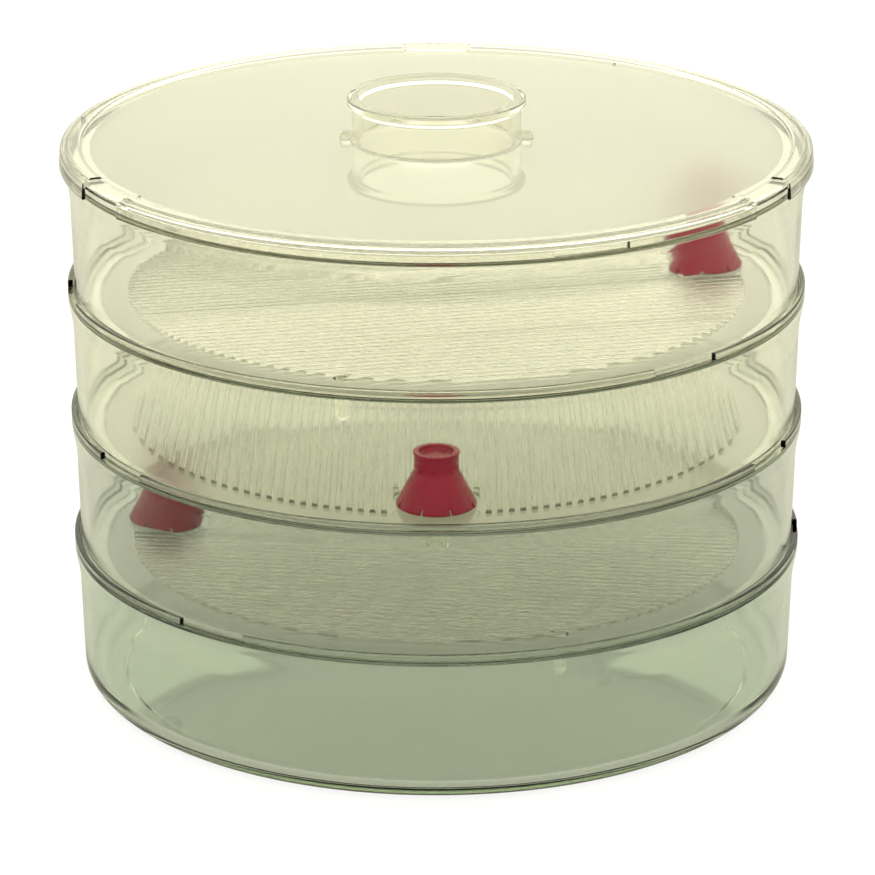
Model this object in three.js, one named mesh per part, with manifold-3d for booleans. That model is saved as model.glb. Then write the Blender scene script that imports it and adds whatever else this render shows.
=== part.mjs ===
// A stackable seed sprouter: a water base, three growing trays with siphon caps, and a lid.
// Millimetres, +Z up. The origin is the centre of the base's foot, on the surface it stands on.

import * as THREE from 'three';
import { mergeVertices } from 'three/addons/utils/BufferGeometryUtils.js';
import Module from 'manifold-3d';

const wasm = await Module();
wasm.setup();

// ---- Driving dimensions ---------------------------------------------------------------------

const ROUND_STEPS = 72; // sides of the large circles
const SMALL_STEPS = 24; // sides of the caps, pipes and pins
const FIT_GAP = 0.3; // clearance between pieces that rest on or in each other

// Every tray and the base share one rim, which holds the foot of the tray above.
const RIM_RADIUS = 101; // outside of the rim band
const RIM_BORE = 99.6; // inside of the rim band
const RIM_BAND = 4.4; // height of the straight outer band
const RIM_TAPER = 6; // height over which the band blends into the wall below it
const RIM_EDGE = 0.3; // softened edges on top of the rim
const SEAT_TOP = 2.15; // from the rim's top down to the sloping seat for the tray above
const SEAT_END = 3.75; // from the rim's top down to the lower edge of that seat
const SEAT_BORE = 98.5; // inside of the wall at the lower edge of the seat
const NEST_DEPTH = 4.6; // how far a tray's foot sits below the rim that holds it
const WALL_RADIUS = 99.8; // outside of a wall just under the rim's blend
const WALL_BORE = 97.5; // inside of a wall just under the rim's blend

// Three shallow notches in each rim let air in over the tray above.
const NOTCH_COUNT = 3;
const NOTCH_SPAN = 12; // degrees
const NOTCH_DEPTH = 2;
const NOTCH_TURN = 40; // degrees from the drain to the first notch

// Growing tray
const TRAY_HEIGHT = 40.75;
const TRAY_FOOT_RADIUS = 99.05;
const TRAY_FOOT_BEND = 3.2; // outer radius of the bend that rests in the seat below
const TRAY_FOOT_BORE = 92.5; // inside of the low ring under the floor
const TRAY_FLOOR_UNDER = 0.25;
const TRAY_FLOOR_TOP = 1.65;
const TRAY_BORE_AT_FLOOR = 96.8;
const TRAY_FILLET = 2; // between floor and wall

// Drain of a tray: a standpipe under the cap and a spout under the floor
const DRAIN_OFFSET = 77; // from the tray's axis
const DRAIN_PIPE_RADIUS = 3.15;
const DRAIN_BORE_RADIUS = 1.9;
const STANDPIPE_RISE = 10.4; // above the floor
const HANG_DEPTH = 11.4; // spout and support pins, below the floor's top
const PIN_OFFSET = 83;
const PIN_TURN = 120; // degrees either side of the drain
const PIN_TOP_RADIUS = 2.3;
const PIN_TIP_RADIUS = 1.6;
const PEG_RADIUS = 0.8; // two pegs that keep seeds off the cap's skirt
const PEG_RISE = 2.3;
const PEG_INWARD = 10.4;
const PEG_SIDEWAYS = 10.6;

// Siphon cap
const CAP_HEIGHT = 14.8;
const CAP_SKIRT_RADIUS = 10.6;
const CAP_NECK_RADIUS = 5.9;
const CAP_CONE_RISE = 9.6;
const CAP_LIP_RADIUS = 6.15;
const CAP_WALL = 1.4;
const CAP_RECESS_RADIUS = 4.5;
const CAP_RECESS_DEPTH = 1.2;
const CAP_SLITS = 8;
const CAP_SLIT_WIDTH = 0.8;
const CAP_SLIT_RISE = 1.6;

// Water base
const BASE_HEIGHT = 42.4;
const BASE_WALL_RADIUS = 98.8; // outside of the wall just above its bottom bend
const BASE_BEND = 6; // outer radius of the bend between wall and bottom
const BASE_BEND_INSIDE = 5;
const BASE_BORE_AT_FLOOR = 96.6;
const BASE_FLOOR_TOP = 2.8;
const BASE_RECESS = 0.8; // hollow under the floor, so that it stands on a ring
const BASE_RECESS_RADIUS = 88;

// Lid
const LID_SKIRT_RADIUS = 102.5;
const LID_SKIRT_TOP_RADIUS = 102.1;
const LID_SKIRT_BORE = 101.4;
const LID_SKIRT_DROP = 3.3; // below the lid's underside
const LID_PLATE = 1.45;
const LID_BEAD_RISE = 1;
const LID_BEAD_INNER = 96.4;
const LID_BEAD_OUTER = 100.4;
const LID_BEAD_EDGE = 0.5; // slope of the bead's sides

const BRIDGE_COUNT = 3;
const BRIDGE_SPAN = 11.5; // degrees
const BRIDGE_TURN = 90; // degrees, place of the first bridge
const BRIDGE_INNER = 94.9;
const BRIDGE_OUTER = 101.8;
const BRIDGE_RAISE = 0.8; // height of the air channel over the rim
const BRIDGE_WALL = 1.1;

const HANDLE_RISE = 12.3;
const HANDLE_NECK_RADIUS = 23;
const HANDLE_LIP_RADIUS = 24.3;
const HANDLE_LIP_HEIGHT = 2.4;
const HANDLE_LIP_EDGE = 0.4;
const HANDLE_BORE = 20.9;
const HANDLE_FOOT = 0.6;
const LUG_OFFSET = 24.5; // two small lugs, left and right of the handle's foot
const LUG_RADIUS = 2;
const LUG_RISE = 2.4;

// How the trays are turned in the stack: the angle of each drain, in degrees from +X
const LOWER_TURN = 173;
const MIDDLE_TURN = 270;
const UPPER_TURN = 13;
const BASE_NOTCH_TURN = 233.8;

const STACK_PITCH = TRAY_HEIGHT - NEST_DEPTH;
const LOWER_Z = BASE_HEIGHT - NEST_DEPTH;
const MIDDLE_Z = LOWER_Z + STACK_PITCH;
const UPPER_Z = MIDDLE_Z + STACK_PITCH;
const LID_Z = UPPER_Z + TRAY_HEIGHT + FIT_GAP; // underside of the lid

// ---- Materials ------------------------------------------------------------------------------

function clearPlastic(color) {
  return new THREE.MeshStandardMaterial({
    color,
    roughness: 0.12,
    metalness: 0,
    transparent: true,
    opacity: 0.45,
  });
}

const BASE_COLOR = 0xb3bf9d;
const LOWER_COLOR = 0xbcc8a4;
const MIDDLE_COLOR = 0xc6cfa8;
const UPPER_COLOR = 0xdcdcb6;
const LID_COLOR = 0xe6e4c6;
const CAP_COLOR = 0x9a2434;

// ---- Solids ---------------------------------------------------------------------------------

function solid(geometry) {
  geometry.deleteAttribute('normal');
  geometry.deleteAttribute('uv');
  const merged = mergeVertices(geometry, 1e-4);
  const mesh = new wasm.Mesh({
    numProp: 3,
    vertProperties: new Float32Array(merged.attributes.position.array),
    triVerts: new Uint32Array(merged.index.array),
  });
  return new wasm.Manifold(mesh);
}

function named(name, shape, material, z, degrees) {
  const result = shape.getMesh();
  const geometry = new THREE.BufferGeometry();
  geometry.setAttribute('position', new THREE.BufferAttribute(result.vertProperties, 3));
  geometry.setIndex(new THREE.BufferAttribute(result.triVerts, 1));
  geometry.computeVertexNormals();
  const mesh = new THREE.Mesh(geometry, material);
  mesh.name = name;
  mesh.position.z = z;
  mesh.rotation.z = THREE.MathUtils.degToRad(degrees);
  return mesh;
}

// Points of an arc in the profile plane, from one angle to another, in degrees.
function arc(radius, height, size, from, to, steps) {
  const points = [];
  for (let step = 0; step <= steps; step += 1) {
    const angle = THREE.MathUtils.degToRad(from + ((to - from) * step) / steps);
    points.push([radius + size * Math.cos(angle), height + size * Math.sin(angle)]);
  }
  return points;
}

// A profile of [radius, height] points, outside upwards and inside downwards, turned about Z.
function turned(profile, steps) {
  const points = profile.map(([radius, height]) => new THREE.Vector2(radius, height));
  const geometry = new THREE.LatheGeometry(points, steps);
  geometry.rotateX(Math.PI / 2);
  return solid(geometry);
}

// Part of a ring between two radii, over a span of degrees about one direction.
function ringSector(inner, outer, low, high, centre, span) {
  const start = THREE.MathUtils.degToRad(centre - span / 2);
  const end = THREE.MathUtils.degToRad(centre + span / 2);
  const outline = new THREE.Shape();
  outline.absarc(0, 0, outer, start, end, false);
  outline.absarc(0, 0, inner, end, start, true);
  const geometry = new THREE.ExtrudeGeometry(outline, {
    depth: high - low,
    bevelEnabled: false,
    curveSegments: 4,
  });
  geometry.translate(0, 0, low);
  return solid(geometry);
}

// A round post along Z whose centre line is at a distance and an angle from the axis.
function post(lowRadius, highRadius, low, high, offset, degrees) {
  const angle = THREE.MathUtils.degToRad(degrees);
  const geometry = new THREE.CylinderGeometry(highRadius, lowRadius, high - low, SMALL_STEPS);
  geometry.rotateX(Math.PI / 2);
  geometry.translate(offset * Math.cos(angle), offset * Math.sin(angle), (low + high) / 2);
  return solid(geometry);
}

// ---- Rim shared by the base and the trays -----------------------------------------------------

// The rim's profile from the foot of its blend, over the top and down to the same level inside.
function rimProfile(height) {
  return [
    [WALL_RADIUS, height - RIM_BAND - RIM_TAPER],
    [(WALL_RADIUS + RIM_RADIUS) / 2 - 0.2, height - RIM_BAND - RIM_TAPER * 0.45],
    [RIM_RADIUS, height - RIM_BAND],
    [RIM_RADIUS, height - RIM_EDGE],
    [RIM_RADIUS - RIM_EDGE, height],
    [RIM_BORE + RIM_EDGE, height],
    [RIM_BORE, height - RIM_EDGE],
    [RIM_BORE, height - SEAT_TOP],
    [SEAT_BORE, height - SEAT_END],
    [SEAT_BORE, height - RIM_BAND - 0.4],
    [WALL_BORE, height - RIM_BAND - RIM_TAPER],
  ];
}

function withRimNotches(shape, height, turn) {
  let result = shape;
  for (let index = 0; index < NOTCH_COUNT; index += 1) {
    const centre = turn + (index * 360) / NOTCH_COUNT;
    const cut = ringSector(
      RIM_BORE - 1,
      RIM_RADIUS + 1,
      height - NOTCH_DEPTH,
      height + 1,
      centre,
      NOTCH_SPAN,
    );
    result = result.subtract(cut);
  }
  return result;
}

// ---- Water base -------------------------------------------------------------------------------

function waterBase() {
  const bendRadius = BASE_WALL_RADIUS - BASE_BEND;
  const hollowRadius = BASE_BORE_AT_FLOOR - BASE_BEND_INSIDE;
  const hollowHeight = BASE_FLOOR_TOP + BASE_BEND_INSIDE;
  const profile = [
    [0, BASE_RECESS],
    [BASE_RECESS_RADIUS - BASE_RECESS, BASE_RECESS],
    [BASE_RECESS_RADIUS, 0],
    ...arc(bendRadius, BASE_BEND, BASE_BEND, -90, 0, 4),
    ...rimProfile(BASE_HEIGHT),
    ...arc(hollowRadius, hollowHeight, BASE_BEND_INSIDE, 0, -90, 4),
    [0, BASE_FLOOR_TOP],
  ];
  return withRimNotches(turned(profile, ROUND_STEPS), BASE_HEIGHT, 0);
}

// ---- Growing tray, its drain towards +X -------------------------------------------------------

function trayShell() {
  const profile = [
    [0, TRAY_FLOOR_UNDER],
    [TRAY_FOOT_BORE - TRAY_FLOOR_UNDER, TRAY_FLOOR_UNDER],
    [TRAY_FOOT_BORE, 0],
    ...arc(TRAY_FOOT_RADIUS - TRAY_FOOT_BEND, TRAY_FOOT_BEND, TRAY_FOOT_BEND, -90, 0, 4),
    ...rimProfile(TRAY_HEIGHT),
    [TRAY_BORE_AT_FLOOR, TRAY_FLOOR_TOP + TRAY_FILLET],
    [TRAY_BORE_AT_FLOOR - TRAY_FILLET, TRAY_FLOOR_TOP],
    [0, TRAY_FLOOR_TOP],
  ];
  return withRimNotches(turned(profile, ROUND_STEPS), TRAY_HEIGHT, NOTCH_TURN);
}

function growingTray() {
  const tip = TRAY_FLOOR_TOP - HANG_DEPTH;
  const inFloor = (TRAY_FLOOR_UNDER + TRAY_FLOOR_TOP) / 2;
  const pipeTop = TRAY_FLOOR_TOP + STANDPIPE_RISE;
  let tray = trayShell();
  tray = tray.add(post(DRAIN_PIPE_RADIUS, DRAIN_PIPE_RADIUS, tip, pipeTop, DRAIN_OFFSET, 0));
  tray = tray.subtract(
    post(DRAIN_BORE_RADIUS, DRAIN_BORE_RADIUS, tip - 1, pipeTop + 1, DRAIN_OFFSET, 0),
  );
  for (const side of [-1, 1]) {
    tray = tray.add(
      post(PIN_TIP_RADIUS, PIN_TOP_RADIUS, tip, inFloor, PIN_OFFSET, side * PIN_TURN),
    );
    const pegOffset = Math.hypot(DRAIN_OFFSET - PEG_INWARD, PEG_SIDEWAYS);
    const pegTurn = Math.atan2(side * PEG_SIDEWAYS, DRAIN_OFFSET - PEG_INWARD);
    const pegDegrees = THREE.MathUtils.radToDeg(pegTurn);
    const pegTop = TRAY_FLOOR_TOP + PEG_RISE;
    tray = tray.add(post(PEG_RADIUS, PEG_RADIUS, inFloor, pegTop, pegOffset, pegDegrees));
  }
  return tray;
}

// ---- Siphon cap, standing on its skirt, about its own axis --------------------------------------

function siphonCap() {
  const ceiling = CAP_HEIGHT - CAP_RECESS_DEPTH - CAP_WALL;
  const profile = [
    [0, ceiling],
    [CAP_NECK_RADIUS - CAP_WALL, ceiling],
    [CAP_NECK_RADIUS - CAP_WALL, CAP_CONE_RISE - 0.4],
    [CAP_SKIRT_RADIUS - CAP_WALL, 0],
    [CAP_SKIRT_RADIUS, 0],
    [CAP_SKIRT_RADIUS, 0.5],
    [CAP_NECK_RADIUS, CAP_CONE_RISE],
    [CAP_NECK_RADIUS, CAP_HEIGHT - 0.8],
    [CAP_LIP_RADIUS, CAP_HEIGHT - 0.5],
    [CAP_LIP_RADIUS - 0.4, CAP_HEIGHT],
    [CAP_RECESS_RADIUS, CAP_HEIGHT],
    [CAP_RECESS_RADIUS, CAP_HEIGHT - CAP_RECESS_DEPTH],
    [0, CAP_HEIGHT - CAP_RECESS_DEPTH],
  ];
  let cap = turned(profile, SMALL_STEPS);
  for (let index = 0; index < CAP_SLITS; index += 1) {
    const slit = new THREE.BoxGeometry(CAP_SKIRT_RADIUS, CAP_SLIT_WIDTH, CAP_SLIT_RISE * 2);
    slit.translate(CAP_SKIRT_RADIUS, 0, 0);
    slit.rotateZ(((index + 0.5) * 2 * Math.PI) / CAP_SLITS);
    cap = cap.subtract(solid(slit));
  }
  return cap;
}

// ---- Lid, its underside at height 0 --------------------------------------------------------------

function lidShell() {
  const beadTop = LID_PLATE + LID_BEAD_RISE;
  const handleTop = LID_PLATE + HANDLE_RISE;
  const lipFoot = handleTop - HANDLE_LIP_HEIGHT;
  const profile = [
    [0, 0],
    [LID_SKIRT_BORE, 0],
    [LID_SKIRT_BORE, -LID_SKIRT_DROP],
    [LID_SKIRT_RADIUS, -LID_SKIRT_DROP],
    [LID_SKIRT_TOP_RADIUS, LID_PLATE - 0.6],
    [LID_SKIRT_TOP_RADIUS - 0.6, LID_PLATE],
    [LID_BEAD_OUTER, LID_PLATE],
    [LID_BEAD_OUTER - LID_BEAD_EDGE, beadTop],
    [LID_BEAD_INNER + LID_BEAD_EDGE, beadTop],
    [LID_BEAD_INNER, LID_PLATE],
    [HANDLE_NECK_RADIUS + HANDLE_FOOT, LID_PLATE],
    [HANDLE_NECK_RADIUS, LID_PLATE + HANDLE_FOOT],
    [HANDLE_NECK_RADIUS, lipFoot - 0.8],
    [HANDLE_LIP_RADIUS, lipFoot + 0.8],
    [HANDLE_LIP_RADIUS, handleTop - HANDLE_LIP_EDGE],
    [HANDLE_LIP_RADIUS - HANDLE_LIP_EDGE, handleTop],
    [HANDLE_BORE + HANDLE_LIP_EDGE, handleTop],
    [HANDLE_BORE, handleTop - HANDLE_LIP_EDGE],
    [HANDLE_BORE, LID_PLATE],
    [0, LID_PLATE],
  ];
  let shape = turned(profile, ROUND_STEPS);
  for (const degrees of [0, 180]) {
    const top = LID_PLATE + LUG_RISE;
    shape = shape.add(post(LUG_RADIUS, LUG_RADIUS * 0.8, 0.5, top, LUG_OFFSET, degrees));
  }
  return shape;
}

// At each bridge the skirt is open and the plate is raised over the rim, so that air gets in.
function lid() {
  const roof = BRIDGE_RAISE + BRIDGE_WALL;
  let shape = lidShell();
  for (let index = 0; index < BRIDGE_COUNT; index += 1) {
    const centre = BRIDGE_TURN + (index * 360) / BRIDGE_COUNT;
    const opening = ringSector(
      BRIDGE_OUTER,
      LID_SKIRT_RADIUS + 1,
      -LID_SKIRT_DROP - 1,
      roof + 1,
      centre,
      BRIDGE_SPAN,
    );
    const skirt = ringSector(
      LID_SKIRT_BORE - 0.4,
      LID_SKIRT_RADIUS + 1,
      -LID_SKIRT_DROP - 1,
      BRIDGE_RAISE,
      centre,
      BRIDGE_SPAN,
    );
    const bead = ringSector(BRIDGE_INNER, BRIDGE_OUTER, roof, roof + 2, centre, BRIDGE_SPAN);
    const cover = ringSector(BRIDGE_INNER, BRIDGE_OUTER, 0.5, roof, centre, BRIDGE_SPAN);
    const channel = ringSector(
      BRIDGE_INNER + BRIDGE_WALL,
      BRIDGE_OUTER + 1,
      -1,
      BRIDGE_RAISE,
      centre,
      BRIDGE_SPAN - 1.4,
    );
    shape = shape.subtract(opening).subtract(skirt).subtract(bead);
    shape = shape.add(cover).subtract(channel);
  }
  return shape;
}

// ---- The stack ------------------------------------------------------------------------------------

const sprouter = new THREE.Group();

sprouter.add(named('base_tray', waterBase(), clearPlastic(BASE_COLOR), 0, BASE_NOTCH_TURN));

const trayShape = growingTray();
const capShape = siphonCap();
const capMaterial = { roughness: 0.4, metalness: 0, color: CAP_COLOR };
const trays = [
  { level: 'lower', z: LOWER_Z, turn: LOWER_TURN, color: LOWER_COLOR },
  { level: 'middle', z: MIDDLE_Z, turn: MIDDLE_TURN, color: MIDDLE_COLOR },
  { level: 'upper', z: UPPER_Z, turn: UPPER_TURN, color: UPPER_COLOR },
];
for (const { level, z, turn, color } of trays) {
  sprouter.add(named(`${level}_tray`, trayShape, clearPlastic(color), z, turn));
  const cap = named(
    `${level}_cap`,
    capShape,
    new THREE.MeshStandardMaterial(capMaterial),
    z + TRAY_FLOOR_TOP + FIT_GAP,
    turn,
  );
  const angle = THREE.MathUtils.degToRad(turn);
  cap.position.x = DRAIN_OFFSET * Math.cos(angle);
  cap.position.y = DRAIN_OFFSET * Math.sin(angle);
  sprouter.add(cap);
}

sprouter.add(named('lid', lid(), clearPlastic(LID_COLOR), LID_Z, 0));

export default sprouter;
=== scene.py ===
"""Looks of a stackable seed sprouter: clear tinted trays, red siphon caps, lid and water base."""

import math

import bmesh
import bpy
from mathutils import Matrix, Vector


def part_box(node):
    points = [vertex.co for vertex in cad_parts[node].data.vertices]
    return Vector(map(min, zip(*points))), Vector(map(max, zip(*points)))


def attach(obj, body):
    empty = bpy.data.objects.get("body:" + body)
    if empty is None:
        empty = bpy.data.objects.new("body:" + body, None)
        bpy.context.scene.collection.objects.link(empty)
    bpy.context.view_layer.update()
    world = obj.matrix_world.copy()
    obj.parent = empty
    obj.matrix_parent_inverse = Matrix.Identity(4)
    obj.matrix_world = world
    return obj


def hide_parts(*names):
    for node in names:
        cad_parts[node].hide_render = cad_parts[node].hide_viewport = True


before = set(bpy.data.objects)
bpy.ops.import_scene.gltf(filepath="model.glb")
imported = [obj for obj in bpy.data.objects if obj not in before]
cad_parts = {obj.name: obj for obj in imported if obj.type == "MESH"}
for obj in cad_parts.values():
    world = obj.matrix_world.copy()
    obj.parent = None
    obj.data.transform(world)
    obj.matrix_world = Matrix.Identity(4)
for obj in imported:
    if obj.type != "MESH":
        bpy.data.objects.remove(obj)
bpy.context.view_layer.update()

MM = 0.001
ROUND = 288  # sides of the large circles
SMALL = 96  # sides of the caps, pipes and pins

# ---- Sizes in millimetres, with the places and outer sizes read from the frame ------------------


def low_mm(node):
    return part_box(node)[0] / MM


def high_mm(node):
    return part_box(node)[1] / MM


# Rim shared by the base and the trays
RIM_RADIUS = high_mm("base_tray").x
RIM_BORE = RIM_RADIUS - 1.4
RIM_BAND = 4.4
RIM_TAPER = 6
SEAT_TOP = 2.15
SEAT_END = 3.75
SEAT_BORE = RIM_RADIUS - 2.5
WALL_RADIUS = RIM_RADIUS - 1.2
WALL_BORE = RIM_RADIUS - 3.5
BLEND_FILLET = 40  # where the wall starts to swell out
BAND_FILLET = 10  # where the swelling meets the rim band
INNER_BLEND_FILLET = BLEND_FILLET + 2.3  # the inside runs parallel to the outside
INNER_BAND_FILLET = BAND_FILLET - 2.4
INNER_BLEND_RISE = 0.6
INNER_BAND_DROP = 0.4
NOTCH_COUNT = 3
NOTCH_SPAN = 12  # degrees
NOTCH_DEPTH = 2
NOTCH_TURN = 40  # degrees from the drain
BASE_NOTCH_TURN = 233.8

# Growing tray, measured from its foot
TRAY_HEIGHT = 40.75
TRAY_FOOT_RADIUS = RIM_RADIUS - 1.95
TRAY_FOOT_BEND = 3.2
TRAY_FOOT_BORE = 92.5
TRAY_FLOOR_UNDER = 0.25
TRAY_FLOOR_TOP = 1.65
TRAY_BORE_AT_FLOOR = 96.8
TRAY_FLOOR_BEND = 2.6
TRAY_TURNS = {"lower": 173, "middle": 270, "upper": 13}  # degrees from +X to the drain

RIB_PITCH = 3
RIB_WIDTH = 1.7
RIB_RISE = 0.95
RIB_FULLNESS = 0.7  # exponent of the rounded cross-section, 1 for an ellipse
RIB_FIELD_RADIUS = 84.5
RIB_ROOT = 0.5  # how far a rib reaches into the floor
RIB_STEPS = 8

DRAIN_OFFSET = 77
DRAIN_PIPE_RADIUS = 3.15
DRAIN_BORE_RADIUS = 1.9
DRAIN_FLARE_RADIUS = DRAIN_PIPE_RADIUS + 0.7
DRAIN_SEAT_RADIUS = 12.6
STANDPIPE_RISE = 10.4
HANG_DEPTH = 11.4
PIN_OFFSET = 83
PIN_TURN = 120  # degrees from the drain, to both sides
PIN_TOP_RADIUS = 2.3
PIN_TIP_RADIUS = 1.6
PEG_RADIUS = 0.8
PEG_RISE = 2.3
PEG_INWARD = 10.4
PEG_SIDEWAYS = 10.6

# Siphon cap
CAP_HEIGHT = high_mm("middle_cap").z - low_mm("middle_cap").z
CAP_SKIRT_RADIUS = 10.6
CAP_NECK_RADIUS = 5.9
CAP_CONE_RISE = 9.6
CAP_LIP_RADIUS = 6.15
CAP_WALL = 1.4
CAP_RECESS = 1.2
CAP_RECESS_RADIUS = 4.6
CAP_RECESS_FLOOR_RADIUS = 4.3
CAP_SLITS = 8
CAP_SLIT_WIDTH = 0.8
CAP_SLIT_RISE = 1.6
CAP_SLIT_INNER = 7
CAP_SLIT_OUTER = 13

# Water base
BASE_HEIGHT = high_mm("base_tray").z
BASE_WALL_RADIUS = RIM_RADIUS - 2.2
BASE_FLOOR_TOP = 2.8
BASE_BORE_AT_FLOOR = 96.6
BASE_FLOOR_BEND = 5
BASE_FOOT_BEND = 6
BASE_RECESS = 0.8
BASE_RECESS_RADIUS = 88

# Lid, measured from its underside
LID_SKIRT_RADIUS = high_mm("lid").x
LID_SKIRT_BORE = LID_SKIRT_RADIUS - 1.1
LID_SKIRT_DROP = 3.3
LID_UNDERSIDE = low_mm("lid").z + LID_SKIRT_DROP
LID_PLATE = 1.45
LID_BEAD_RISE = 1
LID_BEAD_INNER = 96.4
LID_BEAD_OUTER = 100.4
LID_TOP = high_mm("lid").z - LID_UNDERSIDE
HANDLE_NECK_RADIUS = 23
HANDLE_LIP_RADIUS = 24.3
HANDLE_BORE = 20.9
HANDLE_LIP_DROP = 1.9
HANDLE_NECK_DROP = 3
LUG_OFFSET = 24.5
LUG_RADIUS = 2
LUG_RISE = 2.4
BRIDGE_COUNT = 3
BRIDGE_SPAN = 11.5  # degrees
BRIDGE_SIDES = 1.4  # degrees taken up by a bridge's two side walls
BRIDGE_TURN = 90
BRIDGE_INNER = 94.9
BRIDGE_OUTER = 101.8
BRIDGE_RAISE = 0.8
BRIDGE_WALL = 1.1

# ---- Mesh tools ---------------------------------------------------------------------------------


def rounded(corners, steps=7):
    """Profile points from (radius, height, fillet) corners, with each fillet drawn as an arc."""
    points = []
    for index, (radius, height, fillet) in enumerate(corners):
        here = Vector((radius, height))
        if not fillet:
            points.append(here)
            continue
        before = (Vector(corners[index - 1][:2]) - here).normalized()
        after = (Vector(corners[index + 1][:2]) - here).normalized()
        half = before.angle(after) / 2
        centre = here + (before + after).normalized() * fillet / math.sin(half)
        start = here + before * fillet / math.tan(half) - centre
        end = here + after * fillet / math.tan(half) - centre
        turn = math.atan2(start.x * end.y - start.y * end.x, start.dot(end))
        for step in range(steps + 1):
            points.append(centre + Matrix.Rotation(turn * step / steps, 2) @ start)
    return points


def new_piece(name, bm):
    bmesh.ops.recalc_face_normals(bm, faces=bm.faces)
    mesh = bpy.data.meshes.new(name)
    bm.to_mesh(mesh)
    bm.free()
    piece = bpy.data.objects.new(name, mesh)
    bpy.context.scene.collection.objects.link(piece)
    return piece


def add_turned(bm, profile, sides, offset=0, degrees=0):
    """Adds a closed solid of revolution about a vertical line, from a profile in millimetres."""
    place = Matrix.Rotation(math.radians(degrees), 4, "Z") @ Matrix.Translation((offset * MM, 0, 0))
    rings = []
    for radius, height in profile:
        count = sides if radius > 1e-6 else 1
        ring = []
        for index in range(count):
            angle = math.tau * index / sides
            spot = Vector((radius * math.cos(angle), radius * math.sin(angle), height)) * MM
            ring.append(bm.verts.new(place @ spot))
        rings.append(ring)
    for ring, following in zip(rings, rings[1:]):
        for index in range(sides):
            after = (index + 1) % sides
            corners = [ring[index % len(ring)], ring[after % len(ring)]]
            corners += [following[after % len(following)], following[index % len(following)]]
            bm.faces.new(list(dict.fromkeys(corners)))


def add_prism(bm, outline, low, high):
    """Adds a closed vertical prism over an outline of (x, y) points in millimetres."""
    floor = [bm.verts.new(Vector((x, y, low)) * MM) for x, y in outline]
    roof = [bm.verts.new(Vector((x, y, high)) * MM) for x, y in outline]
    bm.faces.new(floor[::-1])
    bm.faces.new(roof)
    for index in range(len(outline)):
        after = (index + 1) % len(outline)
        bm.faces.new([floor[index], floor[after], roof[after], roof[index]])


def polar(radius, degrees):
    angle = math.radians(degrees)
    return radius * math.cos(angle), radius * math.sin(angle)


def sector(inner, outer, centre, span, steps=12):
    """Outline of part of a ring about one direction."""
    angles = [centre - span / 2 + span * step / steps for step in range(steps + 1)]
    outside = [polar(outer, angle) for angle in angles]
    inside = [polar(inner, angle) for angle in reversed(angles)]
    return outside + inside


def turned_piece(name, profile, sides, offset=0, degrees=0):
    bm = bmesh.new()
    add_turned(bm, profile, sides, offset, degrees)
    return new_piece(name, bm)


def combine(piece, tool, operation):
    """Joins a tool to a piece, cuts it away or keeps what they share, and removes the tool."""
    modifier = piece.modifiers.new("combine", "BOOLEAN")
    modifier.object = tool
    modifier.operation = operation
    modifier.solver = "MANIFOLD"
    depsgraph = bpy.context.evaluated_depsgraph_get()
    result = bpy.data.meshes.new_from_object(piece.evaluated_get(depsgraph))
    piece.modifiers.clear()
    piece.data = result
    bpy.data.objects.remove(tool)
    return piece


def smooth(piece, crease=32):
    """Shades smooth across edges flatter than the crease angle, with large faces kept flat."""
    mesh = piece.data
    mesh.shade_smooth()
    mesh.set_sharp_from_angle(angle=math.radians(crease))
    modifier = piece.modifiers.new("normals", "WEIGHTED_NORMAL")
    modifier.keep_sharp = True
    modifier.mode = "FACE_AREA_WITH_ANGLE"
    modifier.weight = 100
    depsgraph = bpy.context.evaluated_depsgraph_get()
    result = bpy.data.meshes.new_from_object(piece.evaluated_get(depsgraph))
    piece.modifiers.clear()
    piece.data = result


# ---- Water base ---------------------------------------------------------------------------------


def rim_corners(height):
    """Rim profile from the foot of its blend into the wall, over the top and back inside."""
    return [
        (WALL_RADIUS, height - RIM_BAND - RIM_TAPER, BLEND_FILLET),
        (RIM_RADIUS, height - RIM_BAND, BAND_FILLET),
        (RIM_RADIUS, height, 0.5),
        (RIM_BORE, height, 0.45),
        (RIM_BORE, height - SEAT_TOP, 0.8),
        (SEAT_BORE, height - SEAT_END, 0.8),
        (SEAT_BORE, height - RIM_BAND - INNER_BAND_DROP, INNER_BAND_FILLET),
        (WALL_BORE, height - RIM_BAND - RIM_TAPER + INNER_BLEND_RISE, INNER_BLEND_FILLET),
    ]


def cut_rim_notches(piece, height, turn):
    bm = bmesh.new()
    for index in range(NOTCH_COUNT):
        centre = turn + index * 360 / NOTCH_COUNT
        outline = sector(RIM_BORE - 1, RIM_RADIUS + 1, centre, NOTCH_SPAN)
        add_prism(bm, outline, height - NOTCH_DEPTH, height + 1)
    return combine(piece, new_piece("notches", bm), "DIFFERENCE")


def make_base():
    corners = [
        (0, BASE_RECESS, 0),
        (BASE_RECESS_RADIUS - BASE_RECESS, BASE_RECESS, 0.3),
        (BASE_RECESS_RADIUS, 0, 0.3),
        (BASE_WALL_RADIUS, 0, BASE_FOOT_BEND),
        *rim_corners(BASE_HEIGHT),
        (BASE_BORE_AT_FLOOR, BASE_FLOOR_TOP, BASE_FLOOR_BEND),
        (0, BASE_FLOOR_TOP, 0),
    ]
    piece = turned_piece("base_tray_clear", rounded(corners), ROUND)
    cut_rim_notches(piece, BASE_HEIGHT, BASE_NOTCH_TURN)
    smooth(piece)
    return piece


# ---- Growing tray, with its drain towards +X ----------------------------------------------------


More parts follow.
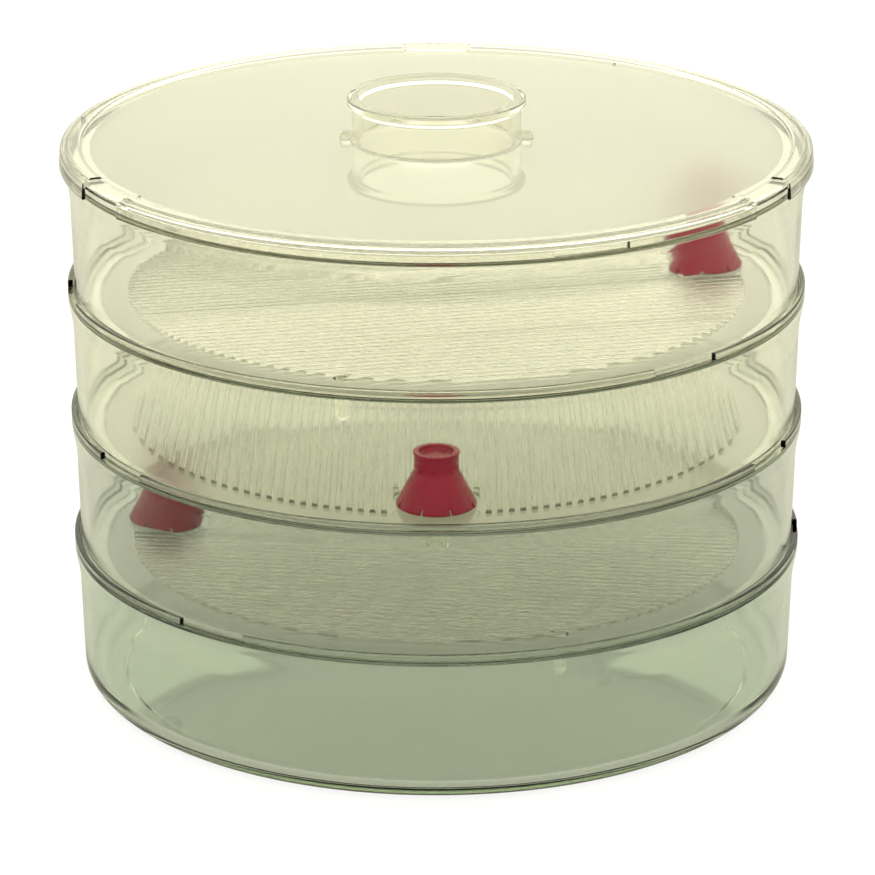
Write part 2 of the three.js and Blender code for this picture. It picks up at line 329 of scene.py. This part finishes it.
def rib_outline(centre):
    """Cross-section of one floor rib as (sideways, height) points, its foot inside the floor."""
    points = []
    for step in range(RIB_STEPS + 1):
        angle = math.pi * step / RIB_STEPS
        reach = abs(math.cos(angle)) ** RIB_FULLNESS
        sideways = centre - math.copysign(RIB_WIDTH / 2 * reach, math.cos(angle))
        rise = RIB_RISE * max(math.sin(angle), 0) ** RIB_FULLNESS
        points.append((sideways, TRAY_FLOOR_TOP + rise))
    points.append((centre + RIB_WIDTH / 2, TRAY_FLOOR_TOP - RIB_ROOT))
    points.append((centre - RIB_WIDTH / 2, TRAY_FLOOR_TOP - RIB_ROOT))
    return points


def make_ribs():
    """All floor ribs as bars along X, trimmed to the round field and clear of the cap's seat."""
    bm = bmesh.new()
    count = int(RIB_FIELD_RADIUS / RIB_PITCH)
    for index in range(-count, count):
        outline = rib_outline((index + 0.5) * RIB_PITCH)
        ends = []
        for along in (-RIB_FIELD_RADIUS - 5, RIB_FIELD_RADIUS + 5):
            ends.append([bm.verts.new(Vector((along, y, z)) * MM) for y, z in outline])
        bm.faces.new(ends[0])
        bm.faces.new(ends[1][::-1])
        for corner in range(len(outline)):
            after = (corner + 1) % len(outline)
            bm.faces.new([ends[0][corner], ends[0][after], ends[1][after], ends[1][corner]])
    ribs = new_piece("ribs", bm)
    low = TRAY_FLOOR_TOP - 2
    high = TRAY_FLOOR_TOP + 2
    field = [(0, low), (RIB_FIELD_RADIUS, low), (RIB_FIELD_RADIUS, high), (0, high)]
    combine(ribs, turned_piece("field", field, ROUND), "INTERSECT")
    seat = [(0, low), (DRAIN_SEAT_RADIUS, low), (DRAIN_SEAT_RADIUS, high), (0, high)]
    return combine(ribs, turned_piece("seat", seat, SMALL, DRAIN_OFFSET), "DIFFERENCE")


def make_tray():
    corners = [
        (0, TRAY_FLOOR_UNDER, 0),
        (TRAY_FOOT_BORE - 1, TRAY_FLOOR_UNDER, 1),
        (TRAY_FOOT_BORE, 0, 1),
        (TRAY_FOOT_RADIUS, 0, TRAY_FOOT_BEND),
        *rim_corners(TRAY_HEIGHT),
        (TRAY_BORE_AT_FLOOR, TRAY_FLOOR_TOP, TRAY_FLOOR_BEND),
        (0, TRAY_FLOOR_TOP, 0),
    ]
    piece = turned_piece("tray", rounded(corners), ROUND)
    cut_rim_notches(piece, TRAY_HEIGHT, NOTCH_TURN)
    combine(piece, make_ribs(), "UNION")

    tip = TRAY_FLOOR_TOP - HANG_DEPTH
    top = TRAY_FLOOR_TOP + STANDPIPE_RISE
    pipe = [
        (0, tip, 0),
        (DRAIN_PIPE_RADIUS, tip, 0.3),
        (DRAIN_PIPE_RADIUS, TRAY_FLOOR_UNDER, 0.6),
        (DRAIN_FLARE_RADIUS, TRAY_FLOOR_UNDER, 0),
        (DRAIN_FLARE_RADIUS, TRAY_FLOOR_TOP, 0),
        (DRAIN_PIPE_RADIUS, TRAY_FLOOR_TOP, 0.6),
        (DRAIN_PIPE_RADIUS, top, 0.4),
        (0, top, 0),
    ]
    combine(piece, turned_piece("pipe", rounded(pipe), SMALL, DRAIN_OFFSET), "UNION")
    bore = [(0, tip - 1), (DRAIN_BORE_RADIUS, tip - 1), (DRAIN_BORE_RADIUS, top + 1), (0, top + 1)]
    combine(piece, turned_piece("bore", bore, SMALL, DRAIN_OFFSET), "DIFFERENCE")

    in_floor = TRAY_FLOOR_TOP - 1
    pin = rounded([
        (0, tip, 0),
        (PIN_TIP_RADIUS, tip, 1.1),
        (PIN_TOP_RADIUS, in_floor, 0),
        (0, in_floor, 0),
    ])
    peg = rounded([
        (0, in_floor, 0),
        (PEG_RADIUS, in_floor, 0),
        (PEG_RADIUS * 0.9, TRAY_FLOOR_TOP + PEG_RISE, 0.4),
        (0, TRAY_FLOOR_TOP + PEG_RISE, 0),
    ])
    bm = bmesh.new()
    peg_offset = math.hypot(DRAIN_OFFSET - PEG_INWARD, PEG_SIDEWAYS)
    peg_turn = math.degrees(math.atan2(PEG_SIDEWAYS, DRAIN_OFFSET - PEG_INWARD))
    for side in (-1, 1):
        add_turned(bm, pin, SMALL // 2, PIN_OFFSET, side * PIN_TURN)
        add_turned(bm, peg, SMALL // 2, peg_offset, side * peg_turn)
    combine(piece, new_piece("posts", bm), "UNION")
    smooth(piece)
    return piece


# ---- Siphon cap, about its own axis -------------------------------------------------------------


def make_cap():
    recess_floor = CAP_HEIGHT - CAP_RECESS
    ceiling = recess_floor - CAP_WALL
    bore = CAP_NECK_RADIUS - CAP_WALL
    corners = [
        (0, ceiling, 0),
        (bore, ceiling, 0.6),
        (bore, CAP_CONE_RISE - 0.4, 1),
        (CAP_SKIRT_RADIUS - CAP_WALL, 0, 0.3),
        (CAP_SKIRT_RADIUS, 0, 0.35),
        (CAP_SKIRT_RADIUS - 0.1, 0.7, 0.3),
        (CAP_NECK_RADIUS, CAP_CONE_RISE, 1.6),
        (CAP_NECK_RADIUS - 0.1, CAP_HEIGHT - 0.9, 0.3),
        (CAP_LIP_RADIUS, CAP_HEIGHT - 0.6, 0.15),
        (CAP_LIP_RADIUS - 0.1, CAP_HEIGHT, 0.35),
        (CAP_RECESS_RADIUS, CAP_HEIGHT, 0.3),
        (CAP_RECESS_FLOOR_RADIUS, recess_floor, 0.8),
        (0, recess_floor, 0),
    ]
    piece = turned_piece("cap", rounded(corners), SMALL)
    side = CAP_SLIT_WIDTH / 2
    outline = [
        (CAP_SLIT_INNER, -side),
        (CAP_SLIT_OUTER, -side),
        (CAP_SLIT_OUTER, side),
        (CAP_SLIT_INNER, side),
    ]
    bm = bmesh.new()
    for index in range(CAP_SLITS):
        turn = (index + 0.5) * 360 / CAP_SLITS
        spin = Matrix.Rotation(math.radians(turn), 2)
        add_prism(bm, [spin @ Vector(corner) for corner in outline], -1, CAP_SLIT_RISE)
    combine(piece, new_piece("slits", bm), "DIFFERENCE")
    smooth(piece)
    return piece


# ---- Lid, its underside at height 0 -------------------------------------------------------------


def make_lid():
    bead_top = LID_PLATE + LID_BEAD_RISE
    corners = [
        (0, 0, 0),
        (LID_SKIRT_BORE, 0, 0.3),
        (LID_SKIRT_BORE, -LID_SKIRT_DROP, 0.3),
        (LID_SKIRT_RADIUS, -LID_SKIRT_DROP, 0.4),
        (LID_SKIRT_RADIUS - 0.4, LID_PLATE, 0.8),
        (LID_BEAD_OUTER, LID_PLATE, 0.25),
        (LID_BEAD_OUTER - 0.2, bead_top, 0.7),
        (LID_BEAD_INNER + 0.4, bead_top, 0.9),
        (LID_BEAD_INNER, LID_PLATE, 0.4),
        (HANDLE_NECK_RADIUS, LID_PLATE, 0.6),
        (HANDLE_NECK_RADIUS, LID_TOP - HANDLE_NECK_DROP, 0.8),
        (HANDLE_LIP_RADIUS, LID_TOP - HANDLE_LIP_DROP, 0.8),
        (HANDLE_LIP_RADIUS, LID_TOP, 0.7),
        (HANDLE_BORE, LID_TOP, 0.6),
        (HANDLE_BORE, LID_PLATE, 0.6),
        (0, LID_PLATE, 0),
    ]
    piece = turned_piece("lid_clear", rounded(corners), ROUND)
    lug = rounded([
        (0, 0.5, 0),
        (LUG_RADIUS, 0.5, 0),
        (LUG_RADIUS * 0.8, LID_PLATE + LUG_RISE, 1),
        (0, LID_PLATE + LUG_RISE, 0),
    ])
    lugs = bmesh.new()
    for degrees in (0, 180):
        add_turned(lugs, lug, SMALL // 2, LUG_OFFSET, degrees)
    combine(piece, new_piece("lugs", lugs), "UNION")
    roof = BRIDGE_RAISE + BRIDGE_WALL
    cuts = bmesh.new()
    covers = bmesh.new()
    channels = bmesh.new()
    for index in range(BRIDGE_COUNT):
        centre = BRIDGE_TURN + index * 360 / BRIDGE_COUNT
        outline = sector(BRIDGE_INNER, LID_SKIRT_RADIUS + 1, centre, BRIDGE_SPAN)
        add_prism(cuts, outline, -LID_SKIRT_DROP - 1, LID_PLATE + 3)
        outline = sector(BRIDGE_INNER - 0.05, BRIDGE_OUTER, centre, BRIDGE_SPAN + 0.1)
        add_prism(covers, outline, 0, roof)
        span = BRIDGE_SPAN - BRIDGE_SIDES
        outline = sector(BRIDGE_INNER + BRIDGE_WALL, BRIDGE_OUTER + 1, centre, span)
        add_prism(channels, outline, -1, BRIDGE_RAISE)
    combine(piece, new_piece("cuts", cuts), "DIFFERENCE")
    combine(piece, new_piece("covers", covers), "UNION")
    combine(piece, new_piece("channels", channels), "DIFFERENCE")
    smooth(piece)
    return piece


# ---- Materials ----------------------------------------------------------------------------------

PLASTIC_IOR = 1.42
PLASTIC_SPECULAR = (0.2, 0.2, 0.2, 1)  # dims the clear plastic's mirror reflections
PLASTIC_HAZE = (0.02, 0.07)  # roughness of polished clear walls
CLOUD_SHARE = 0.985  # brightness left in the cloudier places of a tint
LID_SATIN = 0.4  # roughness of a satin underside
TRAY_SATIN = {"lower": 0.46, "middle": 0.32, "upper": 0.45}
LID_SATIN_RADIUS = 94
TRAY_SATIN_RADIUS = 92
SATIN_REACH = 0.2  # height above and below the underside that still counts as underside
CAP_DARK = (0.26, 0.003, 0.028, 1)
CAP_LIGHT = (0.32, 0.005, 0.036, 1)
CAP_SPECULAR = (0.3, 0.3, 0.3, 1)
CAP_GLOSS = (0.22, 0.34)  # roughness of the red plastic


def noise(nodes, links, coordinates, scale, detail, roughness):
    node = nodes.new("ShaderNodeTexNoise")
    node.inputs["Scale"].default_value = scale
    node.inputs["Detail"].default_value = detail
    node.inputs["Roughness"].default_value = roughness
    links.new(coordinates, node.inputs["Vector"])
    return node.outputs["Fac"]


def math_node(nodes, links, operation, first, second):
    node = nodes.new("ShaderNodeMath")
    node.operation = operation
    links.new(first, node.inputs[0])
    if isinstance(second, (int, float)):
        node.inputs[1].default_value = second
    else:
        links.new(second, node.inputs[1])
    return node.outputs[0]


def spread(nodes, links, value, low, high):
    """Maps a noise value onto a range."""
    node = nodes.new("ShaderNodeMapRange")
    node.inputs["From Min"].default_value = 0.3
    node.inputs["From Max"].default_value = 0.7
    node.inputs["To Min"].default_value = low
    node.inputs["To Max"].default_value = high
    links.new(value, node.inputs["Value"])
    return node.outputs["Result"]


def clear_plastic(name, tint, passed):
    """Clear moulded plastic: `tint` on each crossing of a wall, `passed` light per centimetre."""
    material = bpy.data.materials.new(name)
    material.use_nodes = True
    nodes = material.node_tree.nodes
    links = material.node_tree.links
    shader = nodes["Principled BSDF"]
    shader.inputs["Transmission Weight"].default_value = 1
    shader.inputs["IOR"].default_value = PLASTIC_IOR
    shader.inputs["Specular Tint"].default_value = PLASTIC_SPECULAR
    place = nodes.new("ShaderNodeTexCoord").outputs["Object"]

    haze = noise(nodes, links, place, scale=60, detail=5, roughness=0.6)
    links.new(spread(nodes, links, haze, *PLASTIC_HAZE), shader.inputs["Roughness"])
    ripple = nodes.new("ShaderNodeBump")
    ripple.inputs["Strength"].default_value = 0.15
    ripple.inputs["Distance"].default_value = 0.0004
    waves = noise(nodes, links, place, scale=35, detail=0, roughness=0.5)
    links.new(waves, ripple.inputs["Height"])
    links.new(ripple.outputs["Normal"], shader.inputs["Normal"])
    clouds = nodes.new("ShaderNodeMix")
    clouds.data_type = "RGBA"
    clouds.inputs["A"].default_value = (*[CLOUD_SHARE * share for share in tint], 1)
    clouds.inputs["B"].default_value = (*tint, 1)
    streaks = noise(nodes, links, place, scale=25, detail=3, roughness=0.5)
    links.new(streaks, clouds.inputs["Factor"])
    links.new(clouds.outputs["Result"], shader.inputs["Base Color"])

    rates = [-math.log(share) / (10 * MM) for share in passed]
    density = max(rates) * 1.02  # a little above the strongest rate, so no colour value is 0
    absorb = nodes.new("ShaderNodeVolumeAbsorption")
    absorb.inputs["Density"].default_value = density
    absorb.inputs["Color"].default_value = (*[1 - rate / density for rate in rates], 1)
    links.new(absorb.outputs["Volume"], nodes["Material Output"].inputs["Volume"])
    return material


def disc_mask(nodes, links, low, high, radius):
    """A mask that is 1 between two heights out to a radius, and 0 elsewhere."""
    place = nodes.new("ShaderNodeTexCoord").outputs["Object"]
    split = nodes.new("ShaderNodeSeparateXYZ")
    links.new(place, split.inputs["Vector"])
    above = math_node(nodes, links, "GREATER_THAN", split.outputs["Z"], low * MM)
    below = math_node(nodes, links, "LESS_THAN", split.outputs["Z"], high * MM)
    level = math_node(nodes, links, "MULTIPLY", above, below)
    across = math_node(nodes, links, "POWER", split.outputs["X"], 2)
    along = math_node(nodes, links, "POWER", split.outputs["Y"], 2)
    distance = math_node(nodes, links, "ADD", across, along)
    inside = math_node(nodes, links, "LESS_THAN", distance, (radius * MM) ** 2)
    return math_node(nodes, links, "MULTIPLY", level, inside)


def frost_under(material, under, radius, satin_roughness):
    """Gives the underside of a plate a satin texture."""
    nodes = material.node_tree.nodes
    links = material.node_tree.links
    roughness = nodes["Principled BSDF"].inputs["Roughness"]
    polished = roughness.links[0].from_socket
    satin = disc_mask(nodes, links, under - SATIN_REACH, under + SATIN_REACH, radius)
    blend = nodes.new("ShaderNodeMix")
    blend.inputs["B"].default_value = satin_roughness
    links.new(satin, blend.inputs["Factor"])
    links.new(polished, blend.inputs["A"])
    links.new(blend.outputs["Result"], roughness)


def red_plastic():
    material = bpy.data.materials.new("cap_red")
    material.use_nodes = True
    nodes = material.node_tree.nodes
    links = material.node_tree.links
    shader = nodes["Principled BSDF"]
    shader.inputs["Specular Tint"].default_value = CAP_SPECULAR
    place = nodes.new("ShaderNodeTexCoord").outputs["Object"]
    tint = nodes.new("ShaderNodeMix")
    tint.data_type = "RGBA"
    tint.inputs["A"].default_value = CAP_DARK
    tint.inputs["B"].default_value = CAP_LIGHT
    patches = noise(nodes, links, place, scale=160, detail=4, roughness=0.6)
    links.new(patches, tint.inputs["Factor"])
    links.new(tint.outputs["Result"], shader.inputs["Base Color"])
    grain = noise(nodes, links, place, scale=900, detail=3, roughness=0.6)
    links.new(spread(nodes, links, grain, *CAP_GLOSS), shader.inputs["Roughness"])
    bump = nodes.new("ShaderNodeBump")
    bump.inputs["Strength"].default_value = 0.15
    bump.inputs["Distance"].default_value = 0.0001
    links.new(grain, bump.inputs["Height"])
    links.new(bump.outputs["Normal"], shader.inputs["Normal"])
    return material


# ---- Putting the pieces on their bodies ---------------------------------------------------------


def put_on_body(piece, node, body, material, shift=(0, 0, 0), degrees=0):
    """Turns and moves a piece to its place, and lets it ride a body in place of a CAD node."""
    turn = Matrix.Rotation(math.radians(degrees), 4, "Z")
    piece.data.transform(Matrix.Translation(Vector(shift) * MM) @ turn)
    piece.data.materials.clear()
    piece.data.materials.append(material)
    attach(piece, body)
    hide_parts(node)


def copy_of(piece, name):
    twin = bpy.data.objects.new(name, piece.data.copy())
    twin.data.name = name
    bpy.context.scene.collection.objects.link(twin)
    return twin


# All pieces are the same clear plastic, whose own colour is the pale yellow-green of the upper
# pieces. The lower tray and the base get much darker, greener tints and stronger absorption than
# the pieces above: painted shade, darker towards the bottom of the stack.
base_clear = clear_plastic("base_clear", (0.815, 0.865, 0.81), (0.93, 0.94, 0.92))
tray_clear = {
    "lower": clear_plastic("lower_clear", (0.825, 0.84, 0.815), (0.94, 0.95, 0.92)),
    "middle": clear_plastic("middle_clear", (0.98, 0.98, 0.93), (0.95, 0.96, 0.92)),
    "upper": clear_plastic("upper_clear", (0.99, 0.985, 0.96), (0.96, 0.96, 0.92)),
}
lid_clear = clear_plastic("lid_clear", (0.96, 0.955, 0.915), (0.98, 0.98, 0.95))
frost_under(lid_clear, LID_UNDERSIDE, LID_SATIN_RADIUS, LID_SATIN)
cap_red = red_plastic()

put_on_body(make_base(), "base_tray", "base", base_clear)
put_on_body(make_lid(), "lid", "lid", lid_clear, (0, 0, LID_UNDERSIDE))

tray_mould = make_tray()
cap_mould = make_cap()
for level, turn in TRAY_TURNS.items():
    node = level + "_tray"
    foot = high_mm(node).z - TRAY_HEIGHT
    tray = copy_of(tray_mould, node + "_clear")
    put_on_body(tray, node, node, tray_clear[level], (0, 0, foot), turn)
    underside = foot + TRAY_FLOOR_UNDER
    frost_under(tray_clear[level], underside, TRAY_SATIN_RADIUS, TRAY_SATIN[level])
    cap_node = level + "_cap"
    cap = copy_of(cap_mould, cap_node + "_red")
    spot = (*polar(DRAIN_OFFSET, turn), low_mm(cap_node).z)
    put_on_body(cap, cap_node, cap_node, cap_red, spot, turn)
bpy.data.objects.remove(tray_mould)
bpy.data.objects.remove(cap_mould)

# ---- Stage, light and camera --------------------------------------------------------------------

LIGHT_COLOR = (1, 0.985, 0.785)
FLOOR_COLOR = (0.20, 0.20, 0.19)
FLOOR_GLOW = 0.43
FLOOR_MIRROR_SHARE = 0.8  # how much of its glow the floor keeps in a mirror reflection
FLOOR_SEEN_GLOW = 0.85
FLOOR_SEEN_COLOR = (0.15, 0.15, 0.15, 1)
FLOOR_HALF = 6  # metres
FLOOR_DROP = 0.0003  # metres below the feet
DOME_LOW = 0.7  # the world's brightness near the horizon
DOME_HIGH = 1.95  # and above it
DOME_START = 0.05  # sine of the angle above the horizon where the change starts
DOME_END = 0.25
DOME_MIRROR_SHARE = 0.7
AIM = Vector((0.0003, 0, 0.0665))
CAMERA_DISTANCE = 1.238
CAMERA_TILT = math.radians(19.61)
CLEAR_BOUNCES = 100  # the stack has dozens of clear surfaces in a row


def mirror_share(nodes, links, path, plain, mirrored):
    """A factor that is `plain`, but `mirrored` where light arrives by a mirror reflection."""
    mirror = nodes.new("ShaderNodeMath")
    mirror.operation = "SUBTRACT"
    mirror.use_clamp = True
    links.new(path.outputs["Is Glossy Ray"], mirror.inputs[0])
    links.new(path.outputs["Is Transmission Ray"], mirror.inputs[1])
    share = nodes.new("ShaderNodeMapRange")
    share.inputs["To Min"].default_value = plain
    share.inputs["To Max"].default_value = mirrored
    links.new(mirror.outputs["Value"], share.inputs["Value"])
    return share.outputs["Result"]


def floor_paint():
    """White for the camera with a faint shadow, and a softer warm white as light on the object."""
    material = bpy.data.materials.new("floor")
    material.use_nodes = True
    nodes = material.node_tree.nodes
    links = material.node_tree.links
    nodes.remove(nodes["Principled BSDF"])
    paint = nodes.new("ShaderNodeBsdfDiffuse")
    paint.inputs["Color"].default_value = (*FLOOR_COLOR, 1)
    glow = nodes.new("ShaderNodeEmission")
    glow.inputs["Color"].default_value = (*LIGHT_COLOR, 1)
    path = nodes.new("ShaderNodeLightPath")
    mirrored = FLOOR_GLOW * FLOOR_MIRROR_SHARE
    glow_share = mirror_share(nodes, links, path, FLOOR_GLOW, mirrored)
    links.new(glow_share, glow.inputs["Strength"])
    lit = nodes.new("ShaderNodeAddShader")
    links.new(paint.outputs["BSDF"], lit.inputs[0])
    links.new(glow.outputs["Emission"], lit.inputs[1])
    white = nodes.new("ShaderNodeEmission")
    white.inputs["Strength"].default_value = FLOOR_SEEN_GLOW
    shadow = nodes.new("ShaderNodeBsdfDiffuse")
    shadow.inputs["Color"].default_value = FLOOR_SEEN_COLOR
    seen = nodes.new("ShaderNodeAddShader")
    links.new(white.outputs["Emission"], seen.inputs[0])
    links.new(shadow.outputs["BSDF"], seen.inputs[1])
    mix = nodes.new("ShaderNodeMixShader")
    links.new(path.outputs["Is Camera Ray"], mix.inputs["Fac"])
    links.new(lit.outputs["Shader"], mix.inputs[1])
    links.new(seen.outputs["Shader"], mix.inputs[2])
    links.new(mix.outputs["Shader"], nodes["Material Output"].inputs["Surface"])
    return material


floor_bm = bmesh.new()
bmesh.ops.create_grid(floor_bm, x_segments=1, y_segments=1, size=FLOOR_HALF)
floor = new_piece("floor", floor_bm)
floor.location.z = -FLOOR_DROP
floor.data.materials.append(floor_paint())

scene = bpy.context.scene
world = bpy.data.worlds.new("studio")
scene.world = world
world.use_nodes = True
world_nodes = world.node_tree.nodes
world_links = world.node_tree.links
background = world_nodes["Background"]
background.inputs["Color"].default_value = (*LIGHT_COLOR, 1)
direction = world_nodes.new("ShaderNodeSeparateXYZ")
world_links.new(world_nodes.new("ShaderNodeTexCoord").outputs["Generated"], direction.inputs[0])
dome = world_nodes.new("ShaderNodeMapRange")
dome.interpolation_type = "SMOOTHSTEP"
dome.inputs["From Min"].default_value = DOME_START
dome.inputs["From Max"].default_value = DOME_END
dome.inputs["To Min"].default_value = DOME_LOW
dome.inputs["To Max"].default_value = DOME_HIGH
world_links.new(direction.outputs["Z"], dome.inputs["Value"])
world_path = world_nodes.new("ShaderNodeLightPath")
outer_share = mirror_share(world_nodes, world_links, world_path, 1, DOME_MIRROR_SHARE)
strength = math_node(world_nodes, world_links, "MULTIPLY", dome.outputs["Result"], outer_share)
world_links.new(strength, background.inputs["Strength"])


def softbox(name, spot, target, size, power):
    lamp = bpy.data.lights.new(name, "AREA")
    lamp.shape = "RECTANGLE"
    lamp.size, lamp.size_y = size
    lamp.energy = power
    holder = bpy.data.objects.new(name, lamp)
    holder.location = spot
    holder.rotation_euler = (Vector(target) - Vector(spot)).to_track_quat("-Z", "Y").to_euler()
    bpy.context.scene.collection.objects.link(holder)


softbox("top_light", spot=(0, 0.1, 1.8), target=(0, 0, 0), size=(1.6, 1.6), power=8)

camera_data = bpy.data.cameras.new("camera")
camera_data.sensor_width = 36
camera_data.lens = 183
camera_data.clip_end = 50
camera = bpy.data.objects.new("camera", camera_data)
back = Vector((0, -math.cos(CAMERA_TILT), math.sin(CAMERA_TILT)))
camera.location = AIM + back * CAMERA_DISTANCE
camera.rotation_euler = (math.pi / 2 - CAMERA_TILT, 0, 0)
scene.collection.objects.link(camera)
scene.camera = camera

scene.view_settings.view_transform = "Standard"
scene.cycles.max_bounces = CLEAR_BOUNCES
scene.cycles.transmission_bounces = CLEAR_BOUNCES
scene.cycles.glossy_bounces = 8
scene.cycles.diffuse_bounces = 4
scene.cycles.transparent_max_bounces = 8
